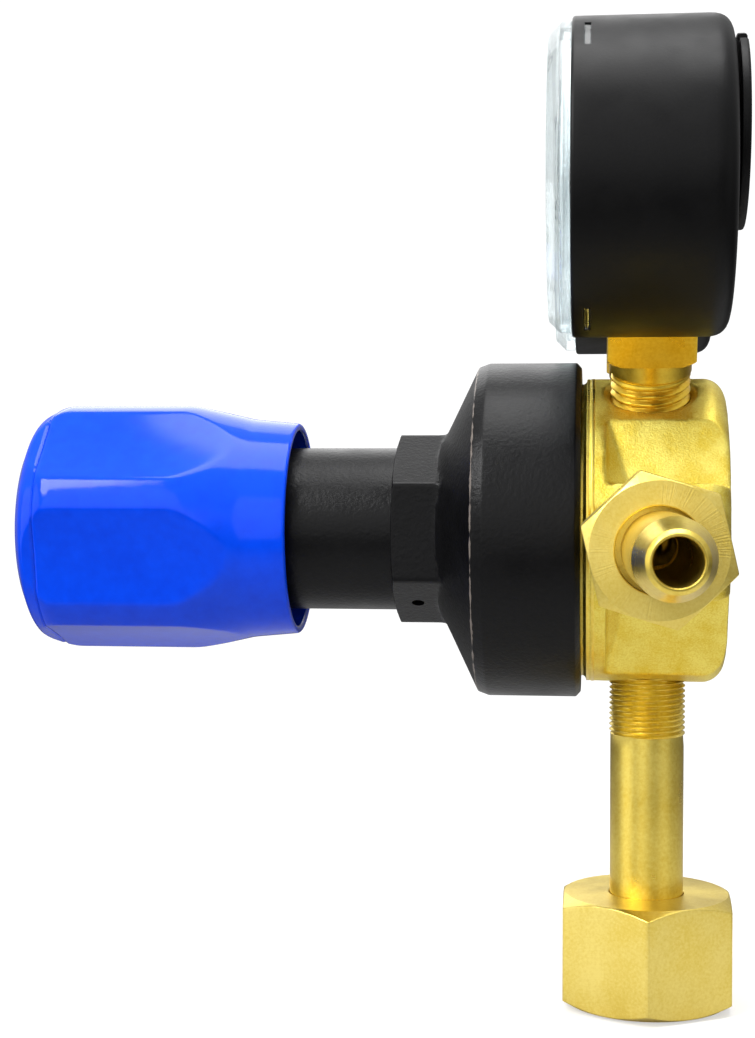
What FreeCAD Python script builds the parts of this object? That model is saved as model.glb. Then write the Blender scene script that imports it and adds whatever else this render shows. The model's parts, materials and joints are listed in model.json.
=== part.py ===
import FreeCAD, Part
import math
import os

# Carbon dioxide pressure regulator with two gauges, in millimetres.
# It is drawn with the adjusting knob's axis on the X axis and the knob toward -X.
# The outlet points along -Y and the cylinder connection along -Z.
# save() lifts everything by axis_height, which puts the origin at the mouth of the inlet nut.

V = FreeCAD.Vector

# Overall layout
axis_height = 81.5          # knob axis above the mouth of the inlet nut
gap = 0.3                   # between pieces that move past each other
running = 0.06              # radial clearance of a turning or sliding shaft
seating = 0.02              # radial clearance between pieces screwed together

# Body
body_r = 26.0
body_end = 12.7            # closed end of the forging
body_front = -11.4          # where the bonnet meets the body
body_corner = 3.6
flange_x = -10.5
groove_x = -9.95
groove_w = 0.25
collar_r = 24.6             # threaded collar inside the bonnet
collar_x = -20.4            # diaphragm seat
low_chamber_r = 17.0
low_chamber_x = -16.4
valve_bore_r = 6.0
valve_bore_x = -6.4
valve_chamber_r = 5.0
valve_chamber_x = 8.0
guide_x = 11.0
port_r = 6.6                # quarter inch taper pipe thread
clear_r = body_r + 4.0      # outside the body everywhere
drill_r = 14.0              # radius at which the passages are drilled
pocket_x = -7.2
pocket_slope = 3.6
spotface_r = 7.5

# Bonnet
bonnet_r = 28.75
bonnet_cone_x = -28.7
bonnet_cone_r = 28.2
bonnet_hex_x = -35.3
bonnet_hex_end = -43.2
bonnet_hex_af = 28.575      # one and one eighth inch
neck_r = 14.1
neck_end = -64.0
neck_wall_x = -56.0
spring_bore_r = 11.5
bonnet_shoulder_x = -22.2
vent_r = 1.1

# Adjusting screw, three eighths inch, sixteen threads to the inch
screw_r = 4.7
screw_head_af = 14.0
screw_head_h = 4.5
button_r = 10.9
button_h = 3.0
spring_wire = 3.0
spring_r = 9.2

# Knob
knob_left = -107.8
knob_cap_x = -103.2
knob_straight_x = -79.0
knob_skirt_x = -60.5
knob_r = 21.6
knob_skirt_r = 18.4
knob_wall = 1.3
knob_web_x = -82.0
knob_web_t = 4.0
knob_dome = 5.0
flute_count = 6
flute_floor = 19.55
flute_r = 110.0
flute_phase = 48.0
cap_rim_r = 17.2

# Diaphragm stack
diaphragm_t = 1.2
diaphragm_r = 24.0
slip_ring_t = 0.6
plate_r = 15.5
plate_t = 2.5
stud_r = 2.4
stud_x = -18.9
washer_r = 8.0
washer_t = 1.0

# Inlet
nipple_r = 6.3
nipple_bore_r = 2.6
nipple_top = 11.0 - body_r
nipple_thread_end = -body_r - 10.0
nipple_flange_r = 9.0
nipple_flange_top = -67.9
nipple_flange_bottom = -71.0
nut_af = 28.575             # one and one eighth inch
nut_top = -62.8
nut_shoulder = -67.5
nut_thread_r = 9.5          # 0.825 inch cylinder valve thread
nut_relief_r = 10.1
inlet_washer_r = 8.4
inlet_washer_t = 2.4

# Outlet
outlet_x = 0.5
outlet_z = -1.0
outlet_face = 0.5 - body_r
adapter_flange_end = outlet_face - 4.5
adapter_thread_r = 7.6
adapter_top = outlet_face + 9.5      # inner end of the adapter
adapter_end = outlet_face - 14.5
adapter_bore_r = 3.0
outlet_nut_af = 21.0
outlet_nut_front = outlet_face - 24.0
outlet_nut_back = outlet_face - 9.5
outlet_nut_phase = 43.3
outlet_hole_r = 6.4
tail_r = 6.0
tail_root_r = 5.8           # relieved where it passes through the nut
tail_root = 6.0             # from the ball's centre to the end of the relief
tail_bore_r = 3.5
tail_ball_y = outlet_face - 19.0
tail_ball_r = 7.4
tail_shoulder = 22.0        # from the ball's centre to the start of the nose
tail_length = 27.0
tail_lean_side = 4.0        # degrees toward the closed end of the body
tail_lean_down = 0.9        # degrees

# Relief valve
relief_face = body_r - 0.5
relief_thread_r = 5.0
relief_thread_end = relief_face - 8.5
relief_hex_af = 14.3
relief_hex_end = relief_face + 6.0
relief_barrel_r = 6.2
relief_end = relief_face + 14.5
relief_seat_y = relief_face - 3.5
relief_chamber_r = 4.3
relief_stem_r = 1.3
relief_eye_y = relief_face + 21.0
relief_eye_r = 2.4
ring_r = 6.5
ring_wire_r = 0.6

# Gauges
gauge_tilt = 25.0
gauge_centre = 62.5         # from the knob axis to the centre of the dial
case_r = 25.0
case_front = -12.8
case_back = 11.8
case_wall = 1.3
case_corner = 3.5
lens_r = 24.3
lens_front = -16.4
lens_edge = 1.8
dial_r = 22.4
dial_x = -11.6
dial_t = 0.6
lug_count = 3
lug_phase = 12.5
lug_x = -10.9
lug_t = 1.1
lug_w = 7.0
block_w = 14.3
block_low = body_r + 7.0
block_high = gauge_centre - 19.5
stem_thread_r = 6.6
stem_end = body_r - 9.0
disc_r = 15.0
disc_offset = 7.0
disc_x = 12.4
disc_t = 1.4
tube_r = 16.0
sector_r = 9.6
pinion_r = 1.6
pinion_teeth = 8
gear_t = 1.2
gear_x = -6.0
plate_front = -8.2
plate_rear = -3.4
lever = 6.0                 # from the sector's pivot to the link's pin
tube_start = 291
tube_end = 530
tube_wall = 0.35


def cyl(r, p0, p1):
    """A cylinder of radius r from point p0 to point p1."""
    start = V(*p0)
    along = V(*p1) - start
    return Part.makeCylinder(r, along.Length, start, along)


def cyl_x(r, x0, x1, y=0, z=0):
    return cyl(r, (x0, y, z), (x1, y, z))


def lathe(points, axis=V(1, 0, 0), across=V(0, 1, 0)):
    """A solid turned about an axis through the origin, from (distance along it, radius) pairs."""
    outline = [axis * a + across * r for a, r in points]
    outline.append(outline[0])
    return Part.Face(Part.makePolygon(outline)).revolve(V(0, 0, 0), axis, 360)


def lathe_z(points):
    return lathe(points, V(0, 0, 1), V(1, 0, 0))


def lathe_y(points):
    """As lathe, along +Y."""
    return lathe(points, V(0, 1, 0), V(1, 0, 0))


def prism(points, start, along):
    """A straight prism on a flat outline of points, moved to start."""
    outline = [V(*p) + start for p in points]
    outline.append(outline[0])
    return Part.Face(Part.makePolygon(outline)).extrude(along)


def hexagon(af, phase, plane):
    """Corner points of a hexagon, given across flats; plane turns an angle into a point."""
    r = af / math.sqrt(3)
    return [plane(r, math.radians(phase + 60 * k)) for k in range(6)]


def hex_x(af, x0, x1, phase=0):
    corners = hexagon(af, phase, lambda r, a: (0, r * math.cos(a), r * math.sin(a)))
    return prism(corners, V(x0, 0, 0), V(x1 - x0, 0, 0))


def hex_y(af, y0, y1, phase=0):
    corners = hexagon(af, phase, lambda r, a: (r * math.cos(a), 0, r * math.sin(a)))
    return prism(corners, V(0, y0, 0), V(0, y1 - y0, 0))


def hex_z(af, z0, z1, phase=0):
    corners = hexagon(af, phase, lambda r, a: (r * math.cos(a), r * math.sin(a), 0))
    return prism(corners, V(0, 0, z0), V(0, 0, z1 - z0))


def chamfered(points_of, low, high, af, drop):
    """The turned envelope that chamfers a hexagon at both ends."""
    edge = af / 2 * 0.985
    wide = af / math.sqrt(3) + 0.05
    rise = (wide - edge) * drop
    return points_of([(low, 0), (low, edge), (low + rise, wide), (high - rise, wide), (high, edge), (high, 0)])


def coil(r, wire_d, length, turns):
    """A compression spring standing on the origin along +Z."""
    lead = (length - wire_d) / turns
    path = Part.makeHelix(lead, length - wire_d, r)
    profile = Part.Wire(Part.makeCircle(wire_d / 2, V(r, 0, 0), V(0, 1, 0)))
    spring = Part.Wire(path).makePipeShell([profile], True, True)
    spring.translate(V(0, 0, wire_d / 2))
    return spring


def along_x(shape, x):
    """Turn a shape standing on +Z to lie along +X from x."""
    shape.rotate(V(0, 0, 0), V(0, 1, 0), 90)
    shape.translate(V(x, 0, 0))
    return shape


def along_y(shape, y):
    """Turn a shape standing on +Z to lie along +Y from y."""
    shape.rotate(V(0, 0, 0), V(1, 0, 0), -90)
    shape.translate(V(0, y, 0))
    return shape


def pocket(side, outer, inner, depth_r, lift):
    """A forged recess between two bosses: a sloping floor from the rim at outer to depth_r at inner."""
    a = V(pocket_x, -side * body_r * math.cos(outer), body_r * math.sin(outer))
    b = V(pocket_x + pocket_slope, -side * depth_r * math.cos(inner), depth_r * math.sin(inner))
    c = V(pocket_x, -side * (body_r + 4), b.z + lift)
    d = V(pocket_x, -side * (body_r + 4) * math.cos(outer), (body_r + 4) * math.sin(outer))
    rim = V(pocket_x, -side * math.sqrt(body_r ** 2 - c.z ** 2), c.z)
    floor = Part.Face(Part.makePolygon([a, b, rim, a]))
    over = Part.Face(Part.makePolygon([a, rim, c, d, a]))
    length = V(body_end - pocket_x + 10, 0, 0)
    return floor.extrude(length).fuse(over.extrude(length))


def tilted(side, t, across=0):
    """A point t along a gauge port's axis; side is 1 for the front port and -1 for the rear."""
    a = math.radians(gauge_tilt)
    return (across, -side * t * math.sin(a), t * math.cos(a))


def body():
    drum = cyl_x(body_r, groove_x + groove_w, body_end)
    corner = [e for e in drum.Edges if abs(e.CenterOfMass.x - body_end) < 0.01]
    drum = drum.makeFillet(body_corner, corner)
    for side in (1, -1):
        drum = drum.cut(pocket(side, math.radians(46), math.radians(19), 22.6, 1.2))
        drum = drum.cut(pocket(side, math.radians(-66), math.radians(-25), 22.0, -1.2))
        drum = drum.cut(cyl(spotface_r, tilted(side, body_r - 0.8), tilted(side, clear_r)))
    drum = drum.cut(cyl(12.0, (outlet_x, outlet_face, outlet_z), (outlet_x, -clear_r, outlet_z)))
    drum = drum.cut(cyl(9.0, (0, relief_face, 0), (0, clear_r, 0)))
    drum = drum.fuse(cyl_x(body_r - 0.45, groove_x - 0.01, groove_x + groove_w + 0.01))
    drum = drum.fuse(cyl_x(body_r - 0.05, flange_x, groove_x))
    drum = drum.fuse(cyl_x(body_r - 0.9, body_front, flange_x))
    drum = drum.fuse(cyl_x(collar_r, collar_x, body_front))
    drum = drum.cut(cyl_x(low_chamber_r, collar_x - 1, low_chamber_x))
    drum = drum.cut(cyl_x(valve_bore_r + seating, low_chamber_x - 1, valve_bore_x))
    drum = drum.cut(cyl_x(valve_chamber_r, valve_bore_x - 1, valve_chamber_x))
    drum = drum.cut(cyl_x(2.0 + running, valve_chamber_x - 1, guide_x))
    # Ports: cylinder connection, two gauges, outlet and relief valve
    drum = drum.cut(cyl(port_r + seating, (0, 0, -clear_r), (0, 0, nipple_top)))
    drum = drum.cut(cyl(2.5, (0, 0, nipple_top - 1), (0, 0, 0)))
    drum = drum.cut(cyl(port_r + seating, tilted(1, stem_end), tilted(1, clear_r)))
    drum = drum.cut(cyl(port_r + seating, tilted(-1, stem_end), tilted(-1, clear_r)))
    drum = drum.cut(cyl(2.0, tilted(-1, 0), tilted(-1, stem_end + 1)))
    drum = drum.cut(cyl(2.0, tilted(1, drill_r), tilted(1, stem_end + 1)))
    drum = drum.cut(cyl(port_r + seating, (outlet_x, -clear_r, outlet_z), (outlet_x, adapter_top, outlet_z)))
    drum = drum.cut(cyl(3.0, (outlet_x, adapter_top - 1, outlet_z), (outlet_x, -drill_r, outlet_z)))
    drum = drum.cut(cyl(relief_thread_r + seating, (0, relief_thread_end, 0), (0, clear_r, 0)))
    drum = drum.cut(cyl(1.5, (0, drill_r, 0), (0, relief_thread_end + 1, 0)))
    # Passages drilled from the low pressure chamber
    low = tilted(1, drill_r)
    drum = drum.cut(cyl_x(1.6, low_chamber_x - 1, 1.0, low[1], low[2]))
    drum = drum.cut(cyl_x(2.4, low_chamber_x - 1, outlet_x + 1, -drill_r, outlet_z))
    drum = drum.cut(cyl_x(1.5, low_chamber_x - 1, 1.0, drill_r, 0))
    return drum


def bonnet():
    r_hex = bonnet_hex_af / 2
    outside = lathe([
        (neck_end, 0), (neck_end, neck_r - 0.6), (neck_end + 0.6, neck_r), (bonnet_hex_end + 1, neck_r),
        (bonnet_hex_x - 0.5, r_hex - 0.2), (bonnet_hex_x, r_hex + 1.2), (bonnet_cone_x - 0.4, bonnet_cone_r - 0.5),
        (bonnet_cone_x, bonnet_cone_r), (bonnet_cone_x + 1.2, bonnet_r - 0.1), (bonnet_cone_x + 2.4, bonnet_r),
        (body_front - 0.9, bonnet_r), (body_front - 0.3, bonnet_r - 0.3), (body_front, bonnet_r - 0.9),
        (body_front, 0)])
    nut = hex_x(bonnet_hex_af, bonnet_hex_end, bonnet_hex_x, 30)
    nut = nut.common(chamfered(lathe, bonnet_hex_end, bonnet_hex_x + 3, bonnet_hex_af, 0.5))
    inside = lathe([
        (neck_wall_x, 0), (neck_wall_x, spring_bore_r), (-33.0, spring_bore_r), (-26.5, low_chamber_r),
        (bonnet_shoulder_x, low_chamber_r), (bonnet_shoulder_x, collar_r + seating), (body_front + 1, collar_r + seating),
        (body_front + 1, 0)])
    shell = outside.fuse(nut).cut(inside)
    shell = shell.cut(cyl_x(screw_r + running, neck_end - 1, neck_wall_x + 1))
    down = math.radians(-60)
    out = (-39.1, -20 * math.cos(down), 20 * math.sin(down))
    return shell.cut(cyl(vent_r, (-39.1, 0, 0), out))


def knob_outline():
    """The knob's outside before it is hollowed, fluted all round."""
    solid = lathe([
        (knob_left, 0), (knob_left, knob_r - knob_dome - 3), (knob_left + 0.5, knob_r - knob_dome),
        (knob_left + 2.0, knob_r - 2.2), (knob_left + 4.0, knob_r - 0.6), (knob_left + 6.5, knob_r),
        (knob_straight_x, knob_r), (knob_straight_x + 3, knob_r - 0.3), (knob_skirt_x - 8, knob_skirt_r + 0.75),
        (knob_skirt_x - 0.5, knob_skirt_r), (knob_skirt_x, knob_skirt_r - 0.5), (knob_skirt_x, 0)])
    for k in range(flute_count):
        a = math.radians(flute_phase + 360 / flute_count * k)
        reach = flute_floor + flute_r
        solid = solid.cut(cyl_x(flute_r, knob_left - 1, knob_skirt_x + 1, -reach * math.cos(a), reach * math.sin(a)))
    return solid


def knob():
    solid = knob_outline()
    solid = solid.cut(cyl_x(40, knob_left - 5, knob_cap_x))
    skirt = lathe([
        (knob_web_x + knob_web_t, 0), (knob_web_x + knob_web_t, knob_skirt_r - knob_wall - 0.6),
        (knob_skirt_x + 1, knob_skirt_r - knob_wall), (knob_skirt_x + 1, 0)])
    solid = solid.cut(skirt)
    solid = solid.cut(cyl_x(cap_rim_r + seating, knob_cap_x - 1, knob_web_x))
    hub = cyl_x(10.0, knob_web_x - 4, knob_web_x + 1)
    solid = solid.fuse(hub)
    solid = solid.cut(hex_x(screw_head_af + 2 * seating, knob_web_x - 5, knob_web_x))
    return solid.cut(cyl_x(screw_r + seating, knob_web_x - 1, knob_web_x + knob_web_t + 1))


def knob_cap():
    solid = knob_outline().cut(cyl_x(40, knob_cap_x, knob_skirt_x + 5))
    rim = cyl_x(cap_rim_r, knob_cap_x - 0.5, knob_cap_x + 3)
    rim = rim.cut(cyl_x(cap_rim_r - 1.4, knob_cap_x - 1.2, knob_cap_x + 4))
    return solid.fuse(rim)


def adjusting_screw():
    head = hex_x(screw_head_af, knob_web_x - screw_head_h, knob_web_x)
    head = head.common(chamfered(lathe, knob_web_x - screw_head_h, knob_web_x + 3, screw_head_af, 0.5))
    tip = neck_wall_x + gap - 0.05
    shank = lathe([
        (knob_web_x - 1, 0), (knob_web_x - 1, screw_r), (tip - 1.5, screw_r), (tip - 0.4, 3.2), (tip, 2.0),
        (tip, 0)])
    return head.fuse(shank)


def spring_button():
    back = neck_wall_x + gap
    return lathe([
        (back, 0), (back, button_r - 0.4), (back + 0.4, button_r), (back + button_h, button_r),
        (back + button_h, spring_r - spring_wire / 2 - 0.3), (back + button_h + 2.5, spring_r - spring_wire / 2 - 0.8),
        (back + button_h + 2.5, 0)])


def range_spring():
    start = neck_wall_x + gap + button_h
    length = plate_back() - start
    return along_x(coil(spring_r, spring_wire, length, 5.5), start)


def diaphragm_left():
    return collar_x - diaphragm_t


def plate_back():
    return diaphragm_left() - plate_t


def diaphragm_plate():
    boss = spring_r - spring_wire / 2 - 0.3
    return lathe([
        (plate_back() - 2.5, 0), (plate_back() - 2.5, boss - 0.5), (plate_back(), boss), (plate_back(), plate_r - 0.4),
        (plate_back() + 0.4, plate_r), (diaphragm_left(), plate_r), (diaphragm_left(), stud_r), (stud_x, stud_r),
        (stud_x, 0)])


def diaphragm():
    disc = cyl_x(diaphragm_r, diaphragm_left(), collar_x)
    return disc.cut(cyl_x(stud_r, diaphragm_left() - 1, collar_x + 1))


def diaphragm_washer():
    disc = cyl_x(washer_r, collar_x, collar_x + washer_t)
    return disc.cut(cyl_x(stud_r, collar_x - 1, collar_x + washer_t + 1))


def slip_ring():
    ring = cyl_x(diaphragm_r, diaphragm_left() - slip_ring_t, diaphragm_left())
    return ring.cut(cyl_x(low_chamber_r + 0.3, diaphragm_left() - 2, diaphragm_left() + 1))


def nozzle():
    flange = hex_x(13.0, low_chamber_x - 1.4, low_chamber_x)
    shank = cyl_x(valve_bore_r, low_chamber_x - 0.5, valve_bore_x)
    lip = cyl_x(2.4, valve_bore_x - 0.5, valve_bore_x + 0.5)
    return flange.fuse(shank).fuse(lip).cut(cyl_x(1.5, low_chamber_x - 3, valve_bore_x + 1))


def poppet():
    pin = cyl_x(0.8, stud_x + 0.1, valve_bore_x + 3.0)
    return pin.fuse(lathe([
        (valve_bore_x + 2.4, 0), (valve_bore_x + 2.4, 4.2), (valve_bore_x + 3.9, 4.2), (valve_bore_x + 3.9, 2.0),
        (guide_x - 1.6, 2.0), (guide_x - 1.6, 0)]))


def seat_disc():
    disc = cyl_x(3.8, valve_bore_x + 0.5, valve_bore_x + 2.4)
    return disc.cut(cyl_x(0.8, valve_bore_x, valve_bore_x + 3))


def poppet_spring():
    start = valve_bore_x + 3.9
    return along_x(coil(3.0, 0.7, valve_chamber_x - start, 6), start)


def inlet_nipple():
    tube = lathe_z([
        (nipple_top, 0), (nipple_top, port_r - 0.6), (nipple_top - 1, port_r),
        (nipple_thread_end, port_r), (nipple_thread_end - 1, nipple_r), (nipple_flange_top, nipple_r),
        (nipple_flange_top, nipple_flange_r),
        (nipple_flange_bottom, nipple_flange_r), (nipple_flange_bottom, 0)])
    tube = tube.cut(cyl(nipple_bore_r, (0, 0, nipple_flange_bottom - 1), (0, 0, nipple_top + 1)))
    return tube.cut(cyl(4.0 + seating, (0, 0, nipple_top - 6), (0, 0, nipple_top + 1)))


def inlet_filter():
    return cyl(4.0, (0, 0, nipple_top - 6), (0, 0, nipple_top))


def inlet_nut():
    nut = hex_z(nut_af, -axis_height, nut_top, 30)
    nut = nut.common(chamfered(lathe_z, -axis_height, nut_top, nut_af, 0.6))
    # The thread stops just short of the sealing washer, with a wider relief above it for the nipple's flange
    thread_end = nipple_flange_bottom - inlet_washer_t - 0.2
    nut = nut.cut(cyl(nut_thread_r, (0, 0, -axis_height - 1), (0, 0, thread_end)))
    nut = nut.cut(cyl(nut_relief_r, (0, 0, thread_end), (0, 0, nut_shoulder)))
    return nut.cut(cyl(nipple_r + 0.1, (0, 0, nut_shoulder - 1), (0, 0, nut_top + 1)))


def inlet_washer():
    low = nipple_flange_bottom - inlet_washer_t
    ring = cyl(inlet_washer_r, (0, 0, low), (0, 0, nipple_flange_bottom))
    return ring.cut(cyl(3.4, (0, 0, low - 1), (0, 0, nipple_flange_bottom + 1)))


def outlet_adapter():
    piece = lathe_y([
        (adapter_top, 0), (adapter_top, port_r - 0.5), (adapter_top - 0.8, port_r), (outlet_face, port_r),
        (outlet_face, 9.5), (adapter_flange_end, 9.5), (adapter_flange_end, adapter_thread_r),
        (adapter_end + 1.0, adapter_thread_r),
        (adapter_end, adapter_thread_r - 1.0), (adapter_end, 0)])
    # The 45 degree seat lies one seating clearance off the tail's ball
    cone = tail_ball_y + (tail_ball_r + seating) * math.sqrt(2)
    seat = lathe_y([(adapter_end, 0), (adapter_end, cone - adapter_end), (cone - 1.0, 1.0), (cone - 1.0, 0)])
    piece = piece.cut(seat).cut(cyl(adapter_bore_r, (0, adapter_top + 1, 0), (0, adapter_end - 1, 0)))
    piece.translate(V(outlet_x, 0, outlet_z))
    return piece


def outlet_nut():
    nut = hex_y(outlet_nut_af, outlet_nut_front, outlet_nut_back, outlet_nut_phase)
    nut = nut.common(chamfered(lathe_y, outlet_nut_front, outlet_nut_back, outlet_nut_af, 0.6))
    nut = nut.cut(cyl(adapter_thread_r + seating, (0, outlet_nut_front + 2.6, 0), (0, outlet_nut_back + 1, 0)))
    nut = nut.cut(cyl(outlet_hole_r + 0.1, (0, outlet_nut_front - 1, 0), (0, outlet_nut_front + 3, 0)))
    nut.translate(V(outlet_x, 0, outlet_z))
    return nut


def outlet_tail():
    ball = Part.makeSphere(tail_ball_r).common(cyl_x(12, -5.6, 1.7))
    nose = lathe([
        (0, 0), (0, tail_root_r), (tail_root, tail_root_r), (tail_root, tail_r), (tail_shoulder, tail_r),
        (tail_shoulder + 0.9, tail_r - 0.15),
        (tail_shoulder + 1.6, tail_r - 0.5), (tail_length - 0.3, 4.6), (tail_length, 4.3), (tail_length, 0)])
    piece = ball.fuse(nose)
    piece = piece.cut(cyl_x(tail_bore_r, -10, tail_length + 1))
    piece.rotate(V(0, 0, 0), V(0, 0, 1), -90 + tail_lean_side)
    piece.rotate(V(0, 0, 0), V(1, 0, 0), tail_lean_down)
    piece.translate(V(outlet_x, tail_ball_y, outlet_z))
    return piece


def relief_body():
    piece = cyl(relief_thread_r, (0, relief_thread_end, 0), (0, relief_face + 0.5, 0))
    nut = hex_y(relief_hex_af, relief_face, relief_hex_end)
    nut = nut.common(chamfered(lathe_y, relief_face, relief_hex_end, relief_hex_af, 0.5))
    piece = piece.fuse(nut).fuse(cyl(relief_barrel_r, (0, relief_hex_end - 1, 0), (0, relief_end, 0)))
    piece = piece.cut(cyl(1.5, (0, relief_thread_end - 1, 0), (0, relief_seat_y + 1, 0)))
    piece = piece.cut(cyl(relief_chamber_r, (0, relief_seat_y, 0), (0, relief_end + 1, 0)))
    return piece.cut(cyl(1.0, (-10, relief_hex_end + 2.5, 0), (10, relief_hex_end + 2.5, 0)))


def relief_seat():
    pad = cyl(3.2, (0, relief_seat_y, 0), (0, relief_seat_y + 1.2, 0))
    return pad


def relief_poppet():
    flange = relief_seat_y + 1.2
    piece = cyl(3.6, (0, flange, 0), (0, flange + 1.3, 0))
    piece = piece.fuse(cyl(relief_stem_r, (0, flange, 0), (0, relief_eye_y, 0)))
    eye = Part.makeSphere(relief_eye_r, V(0, relief_eye_y, 0))
    eye = eye.common(Part.makeBox(2.6, 8, 8, V(-1.3, relief_eye_y - 4, -4)))
    return piece.fuse(eye).cut(cyl_x(ring_wire_r + 0.35, -5, 5, relief_eye_y, 0))


def relief_spring():
    start = relief_seat_y + 2.5
    return along_y(coil(2.9, 0.8, relief_end - 3.0 - start, 7), start)


def relief_cap():
    plug = cyl(relief_chamber_r - seating, (0, relief_end - 3.0, 0), (0, relief_end + 0.2, 0))
    top = cyl(relief_barrel_r, (0, relief_end, 0), (0, relief_end + 1.8, 0))
    hole = cyl(relief_stem_r + running, (0, relief_end - 4, 0), (0, relief_end + 4, 0))
    return plug.fuse(top).cut(hole)


def relief_ring():
    return Part.makeTorus(ring_r, ring_wire_r, V(0, relief_eye_y, -ring_r), V(0, 1, 0))


# Gauge pieces are drawn with the dial's centre at the origin, facing -X, stem down.

def gauge_case():
    shell = cyl_x(case_r, case_front, case_back)
    back = [e for e in shell.Edges if abs(e.CenterOfMass.x - case_back) < 0.01]
    front = [e for e in shell.Edges if abs(e.CenterOfMass.x - case_front) < 0.01]
    shell = shell.makeFillet(case_corner, back).makeFillet(0.6, front)
    shell = shell.cut(cyl_x(case_r - case_wall, case_front - 1, case_back - case_wall - 0.4))
    shell = shell.cut(cyl_x(8.0 + seating, 0, case_back + 1, 0, disc_offset))
    hole = Part.makeBox(block_w + 2 * seating, block_w + 2 * seating, 20)
    hole.translate(V(-block_w / 2 - seating, -block_w / 2 - seating, -case_r - 10))
    shell = shell.cut(hole)
    for k in range(lug_count):
        shell = shell.cut(lug_block(k, 0))
    return shell


def lug_block(k, clearance):
    """The block that cuts one lug slot in the rim, or with a clearance the lug that fills it."""
    wide = lug_w / 2 - clearance
    slot = Part.makeBox(lug_t - 2 * clearance, 2 * wide, 5.0, V(lug_x + clearance, -wide, case_r - 3))
    slot.rotate(V(0, 0, 0), V(1, 0, 0), lug_phase + 360 / lug_count * k)
    return slot


def gauge_lens():
    inner = case_r - case_wall - seating
    cup = lathe([
        (lens_front, 0), (lens_front, lens_r - lens_edge), (lens_front + lens_edge, lens_r),
        (case_front - 0.1, lens_r), (case_front - 0.1, inner), (case_front + 5.0, inner), (case_front + 5.0, dial_r + 0.2),
        (case_front + 0.4, dial_r + 0.2), (lens_front + 2.2, dial_r - 1.2), (lens_front + 2.2, 0)])
    for k in range(lug_count):
        cup = cup.fuse(lug_block(k, seating).common(cyl_x(case_r - 0.5, case_front, 0)))
    return cup


def gauge_dial():
    disc = cyl_x(dial_r, dial_x, dial_x + dial_t)
    disc = disc.cut(cyl_x(1.4, dial_x - 1, dial_x + 2))
    for y in (-9.0, 9.0):
        disc = disc.cut(cyl_x(0.8, dial_x - 1, dial_x + 2, y, -4.0))
    return disc


def gauge_dial_screws():
    parts = []
    for y in (-9.0, 9.0):
        head = cyl_x(1.5, dial_x - 0.4, dial_x, y, -4.0)
        parts.append(head.fuse(cyl_x(0.75, dial_x - 0.1, plate_front + 0.7, y, -4.0)))
    return Part.makeCompound(parts)


def gauge_pointer():
    x = dial_x - 1.1
    hub = cyl_x(2.2, x - 0.6, x + 0.4)
    blade = prism([(0, -1.1, 0), (0, 1.1, 0), (0, 0.25, 17.5), (0, -0.25, 17.5)], V(x, 0, 0), V(0.4, 0, 0))
    tail = prism([(0, -1.6, -6.5), (0, 1.6, -6.5), (0, 1.1, 0), (0, -1.1, 0)], V(x, 0, 0), V(0.4, 0, 0))
    piece = hub.fuse(blade).fuse(tail).cut(cyl_x(0.7, x - 0.2, x + 1))
    piece.rotate(V(0, 0, 0), V(1, 0, 0), -135)
    return piece


def toothed(r, teeth, first, last, centre_z, phase):
    """Trapezium teeth on pitch radius r, about an axis at centre_z."""
    module = 2 * r / teeth
    step = 360 / teeth
    parts = []
    for k in range(first, last):
        low = -1.05 * module
        high = 0.8 * module
        w_low = 0.62 * module
        w_high = 0.26 * module
        tooth = prism([(0, -w_low, r + low), (0, w_low, r + low), (0, w_high, r + high), (0, -w_high, r + high)],
                      V(gear_x, 0, 0), V(gear_t, 0, 0))
        tooth.rotate(V(0, 0, 0), V(1, 0, 0), phase + step * k)
        tooth.translate(V(0, 0, centre_z))
        parts.append(tooth)
    return parts


def gauge_pinion():
    module = 2 * pinion_r / pinion_teeth
    core = cyl_x(pinion_r - module, gear_x, gear_x + gear_t)
    arbor = cyl_x(0.7, dial_x - 1.3, -2.6)
    return core.fuse(arbor).multiFuse(toothed(pinion_r, pinion_teeth, 0, pinion_teeth, 0, 0))


def sector_z():
    return -(sector_r + pinion_r)


def fan(first, last, reach, x0, x1):
    """A wedge about the X axis between two angles from +Z toward -Y, in degrees."""
    span = [V(x0, 0, 0)]
    for k in range(9):
        a = math.radians(first + (last - first) * k / 8)
        span.append(V(x0, -reach * math.sin(a), reach * math.cos(a)))
    return Part.Face(Part.makePolygon(span + [span[0]])).extrude(V(x1 - x0, 0, 0))


def gauge_sector():
    teeth = round(sector_r / pinion_r) * pinion_teeth
    module = 2 * pinion_r / pinion_teeth
    half = 360 / teeth / 2
    x1 = gear_x + gear_t
    rim = cyl_x(sector_r - module, gear_x, x1).cut(cyl_x(sector_r - 2.6, gear_x - 1, x1 + 1))
    rim = rim.common(fan(-8, 60, 14, gear_x, x1))
    arm = fan(16, 34, sector_r - 2.0, gear_x, x1)
    tail = prism([(0, 0, -1.0), (0, 0, 1.0), (0, -lever - 1.2, 0.9), (0, -lever - 1.2, -0.9)],
                 V(gear_x, 0, 0), V(gear_t, 0, 0))
    arbor = cyl_x(0.7, plate_front, plate_rear + 0.8)
    piece = rim.fuse(arm).fuse(tail).fuse(cyl_x(1.8, gear_x, x1)).fuse(arbor)
    piece.translate(V(0, 0, sector_z()))
    piece = piece.multiFuse(toothed(sector_r, teeth, -1, 8, sector_z(), half))
    return piece.cut(cyl_x(0.42 + running, gear_x - 1, x1 + 1, -lever, sector_z()))


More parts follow.
